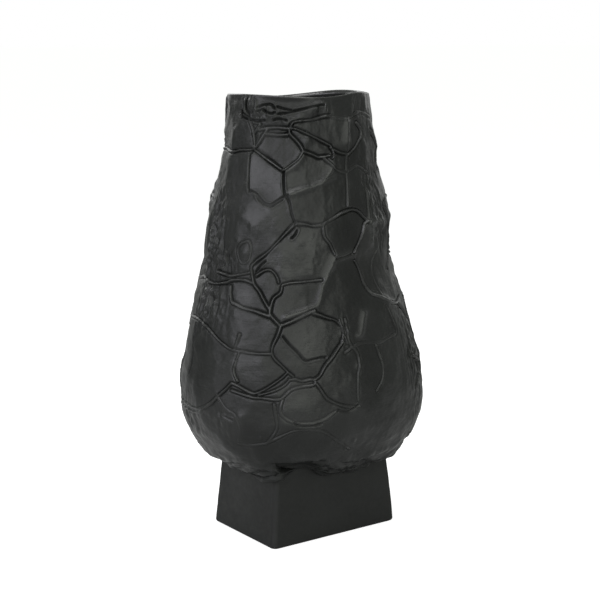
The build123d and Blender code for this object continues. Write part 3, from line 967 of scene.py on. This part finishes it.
def rounded_rectangle(length, depth, corner, count):
    """Points and outward directions, evenly spaced round a rounded rectangle."""
    path = []
    for sx, sy, start in ((1, -1, -90), (1, 1, 0), (-1, 1, 90), (-1, -1, 180)):
        for k in range(CORNER_STEPS + 1):
            angle = math.radians(start + 90.0 * k / CORNER_STEPS)
            out_x, out_y = math.cos(angle), math.sin(angle)
            x = sx * (length / 2 - corner) + corner * out_x
            y = sy * (depth / 2 - corner) + corner * out_y
            path.append((x, y, out_x, out_y))
    path = np.array(path + path[:1])
    along = np.concatenate([[0.0], np.cumsum(np.hypot(*np.diff(path[:, :2], axis=0).T))])
    wanted = np.linspace(0.0, along[-1], count, endpoint=False)
    even = np.stack([np.interp(wanted, along, values) for values in path.T], axis=1)
    return even[:, :2], even[:, 2:] / np.linalg.norm(even[:, 2:], axis=1, keepdims=True)


def luting_coil():
    """Lumpy coil of clay, thumbed into the corner between foot and belly."""
    low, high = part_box("luting_coil")
    length, depth = (high.x - low.x) / MM - COIL_INSET, (high.y - low.y) / MM - COIL_INSET
    path, outward = rounded_rectangle(length, depth, COIL_CORNER, COIL_STEPS)
    turns = turn_between(np.degrees(np.arctan2(path[:, 1], path[:, 0])), FACING)
    path = path - outward * BARE_INWARDS * bare(turns)[:, None]
    thin = 1.0 - BARE_THINNING * bare(turns)
    one_row, shape = (1, COIL_STEPS), (COIL_SIDES, COIL_STEPS)
    fat = (COIL_RADIUS + layers(COIL_SWELLING, one_row)) * thin
    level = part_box("foot")[1].z / MM + COIL_LIFT + layers(COIL_WAVES, one_row) - sag(turns)
    folds = [np.roll(row, COIL_SLANT * k) for k, row in enumerate(layers(COIL_FOLDS, shape))]
    lumps = (folds + layers(COIL_GRAIN, shape)) * thin
    angles = 2.0 * math.pi * np.arange(COIL_SIDES)[:, None] / COIL_SIDES
    beside = path + outward * ((fat + lumps) * np.cos(angles))[..., None]
    z = level + (fat + lumps) * COIL_SQUASH * np.sin(angles)
    rings = np.concatenate([beside, z[..., None]], axis=2)
    values = LINE_REACH, lumps, COIL_POLISH, 0.0
    add_piece("luting_coil_lumps", "luting_coil", "plain_clay", rings, True, values)


# ---- foot

FOOT_OVERRUN = 4.0  # the foot's faces go on up inside the clay that is smeared over them
FOOT_WALL, DECK_SEAT, DECK_THICKNESS = 9.0, 4.0, 8.0  # as in the CAD
CORNER, INNER_CORNER, SOLE_CORNER = 4.5, 3.0, 4.0  # radii of the foot's upright corners
HEM, HEM_STEPS = 2.5, 5  # rounding of the bottom edge
INNER_HEM = 0.6
FACE_START, FACE_END, FACE_ROWS = 3.4, 1.0, 60  # the rows on the faces start and end this far from the edges
FOOT_INNER_ROWS, FOOT_INNER_GAPS = 12, (2.0, 1.0)  # inside, from deck and ground
FOOT_STEPS = 480
FOOT_NOISE = [(91, 9.0, 16.0, 0.28), (92, 2.5, 4.0, 0.06)]
FOOT_NOISE_TOP, FOOT_SINKING = 0.5, 0.2


def foot():
    """Hollow tapered foot with hand-softened faces and edges."""
    low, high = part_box("foot")
    length, depth, height = (high.x - low.x) / MM, (high.y - low.y) / MM, high.z / MM
    seat, under_deck = FOOT_WALL - DECK_SEAT, height - DECK_THICKNESS

    def ring(inset, z, corner):
        share = 1.0 - (1.0 - FOOT_TOP_SHARE) * z / height
        sides = length * share - 2 * inset, depth * share - 2 * inset
        points, _ = rounded_rectangle(*sides, corner, FOOT_STEPS)
        return np.column_stack([points, np.full(FOOT_STEPS, z)])

    hem = [math.pi / 2 * k / HEM_STEPS for k in range(HEM_STEPS + 1)]
    rings = [ring(HEM * (1 - math.sin(a)), HEM * (1 - math.cos(a)), CORNER) for a in hem]
    rings += [ring(0.0, z, CORNER) for z in np.linspace(FACE_START, height - FACE_END, FACE_ROWS)]
    soft = slice(HEM_STEPS - 1, len(rings))
    rings += [ring(0.0, height + FOOT_OVERRUN, CORNER)]
    rings += [ring(seat, z, INNER_CORNER) for z in (height, under_deck)]
    inner_rows = np.linspace(under_deck - FOOT_INNER_GAPS[0], FOOT_INNER_GAPS[1], FOOT_INNER_ROWS)
    rings += [ring(FOOT_WALL, z, INNER_CORNER) for z in (under_deck, *inner_rows)]
    rings += [ring(FOOT_WALL - INNER_HEM, 0.0, INNER_CORNER), ring(FOOT_WALL / 2, 0.0, SOLE_CORNER)]
    rings = np.array(rings)
    shape = rings.shape[:2]
    outwards = rings * (1.0, 1.0, 0.0)
    outwards /= np.linalg.norm(outwards, axis=2, keepdims=True)
    uneven = np.minimum(layers(FOOT_NOISE, shape), FOOT_NOISE_TOP) - FOOT_SINKING
    rings[soft] += outwards[soft] * uneven[soft][..., None]
    add_piece("foot_shell", "foot", "plain_clay", rings, True, (LINE_REACH, uneven, 1.0, 0.0))


vessel()
luting_coil()
foot()

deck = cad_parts["foot_deck"]
deck.data.materials.clear()
deck.data.materials.append(CLAYS["plain_clay"])


# ---- studio

# Lengths here are in metres.
AMBIENT = 0.30  # brightness of the surroundings as the clay mirrors them
AMBIENT_TINT = (0.96, 1.0, 0.94, 1.0)
FLOOR_GLOW = 0.78
FLOOR_PAPER = (0.75, 0.75, 0.75, 1.0)
FLOOR_BOUNCE = (0.66, 0.66, 0.66, 1.0)
FLOOR_SIZE = 80.0
WHITE = (1.0, 1.0, 1.0)
POT_MIDDLE = (0.0, 0.0, 0.2)

# The camera was solved from the foot's corners in the photo.
CAMERA_ELEVATION, CAMERA_DISTANCE = 10.65, 1.23693
CAMERA_LEVEL = 0.20145  # it looks at this height,
CAMERA_SHIFT = 0.00377  # and this much to the left of the pot's axis
LENS, SENSOR = 85.0, 36.0  # in millimetres


def seen_and_cast(tree, seen, cast, output, socket):
    """The camera sees one shader, and the pot is lit by another, dimmer one."""
    path = tree.nodes.new("ShaderNodeLightPath")
    mix = tree.nodes.new("ShaderNodeMixShader")
    tree.links.new(path.outputs["Is Camera Ray"], mix.inputs[0])
    tree.links.new(cast, mix.inputs[1])
    tree.links.new(seen, mix.inputs[2])
    tree.links.new(mix.outputs[0], output.inputs[socket])


def pale_floor():
    """White paper to the camera, and a dimmer floor in what the clay mirrors."""
    half = FLOOR_SIZE / 2
    mesh = bpy.data.meshes.new("floor")
    corners = [(-half, -half, 0), (half, -half, 0), (half, half, 0), (-half, half, 0)]
    mesh.from_pydata(corners, [], [(0, 1, 2, 3)])
    floor = new_object("floor", mesh)
    material = bpy.data.materials.new("floor")
    tree = empty_tree(material)
    glow = add_node(tree, "ShaderNodeEmission", Color=(*WHITE, 1.0), Strength=FLOOR_GLOW)
    paper = add_node(tree, "ShaderNodeBsdfDiffuse", Color=FLOOR_PAPER)
    seen = tree.nodes.new("ShaderNodeAddShader")
    tree.links.new(glow.outputs[0], seen.inputs[0])
    tree.links.new(paper.outputs[0], seen.inputs[1])
    cast = add_node(tree, "ShaderNodeBsdfDiffuse", Color=FLOOR_BOUNCE)
    output = tree.nodes.new("ShaderNodeOutputMaterial")
    seen_and_cast(tree, seen.outputs[0], cast.outputs[0], output, "Surface")
    mesh.materials.append(material)


def towards(azimuth, elevation):
    """Unit vector with the azimuth and elevation, which are given in degrees."""
    azimuth, elevation = math.radians(azimuth), math.radians(elevation)
    level = Vector((math.cos(azimuth), math.sin(azimuth), 0.0)) * math.cos(elevation)
    return level + Vector((0.0, 0.0, math.sin(elevation)))


def stand(name, data, aim, way, distance):
    """Light or camera that looks at its aim, from a distance along a way."""
    made = new_object(name, data)
    made.location = aim + way * distance
    made.rotation_euler = (-way).to_track_quat("-Z", "Y").to_euler()
    return made


def softbox(name, turn, elevation, distance, width, height, power, colour=WHITE, seen=True, aim=POT_MIDDLE):
    """Area light, placed by its turn from FACING."""
    light = bpy.data.lights.new(name, "AREA")
    light.shape = "RECTANGLE"
    light.size, light.size_y = width, height
    light.energy, light.color = power, colour
    lamp = stand(name, light, Vector(aim), towards(FACING + turn, elevation), distance)
    lamp.visible_camera = seen


def studio_world():
    """White to the camera, dimmer as a light, so that the black clay keeps its depth."""
    world = bpy.data.worlds.new("studio")
    tree = empty_tree(world)
    dim = add_node(tree, "ShaderNodeBackground", Color=AMBIENT_TINT, Strength=AMBIENT)
    white = add_node(tree, "ShaderNodeBackground", Color=(*WHITE, 1.0), Strength=1.0)
    output = tree.nodes.new("ShaderNodeOutputWorld")
    seen_and_cast(tree, white.outputs[0], dim.outputs[0], output, "Surface")
    bpy.context.scene.world = world


def camera():
    """The photograph's view: a long lens, a little above the pot."""
    data = bpy.data.cameras.new("camera")
    data.lens, data.sensor_width = LENS, SENSOR
    aim = Vector((0.0, 0.0, CAMERA_LEVEL)) - towards(FACING + 90.0, 0.0) * CAMERA_SHIFT
    bpy.context.scene.camera = stand("camera", data, aim, towards(FACING, CAMERA_ELEVATION), CAMERA_DISTANCE)


pale_floor()
studio_world()
# Turn, elevation, distance, width, height, power
softbox("key", -38, 22, 1.9, 1.6, 1.3, 14.5, (0.93, 0.92, 1.0))
softbox("front", 18, 18, 2.0, 2.0, 1.5, 11.0, (0.97, 1.0, 0.92))
softbox("top", 0, 75, 1.5, 1.0, 1.0, 6.0)
softbox("back_left", -145, 20, 2.0, 1.2, 1.4, 4.0, seen=False)
softbox("back_right", 145, 20, 2.0, 1.2, 1.4, 3.5, seen=False)
softbox("floor_wash", 0, 90, 0.5, 0.5, 0.5, 1.4, seen=False, aim=(-0.05, 0.42, 0.0))
camera()
bpy.context.scene.view_settings.view_transform = "Standard"
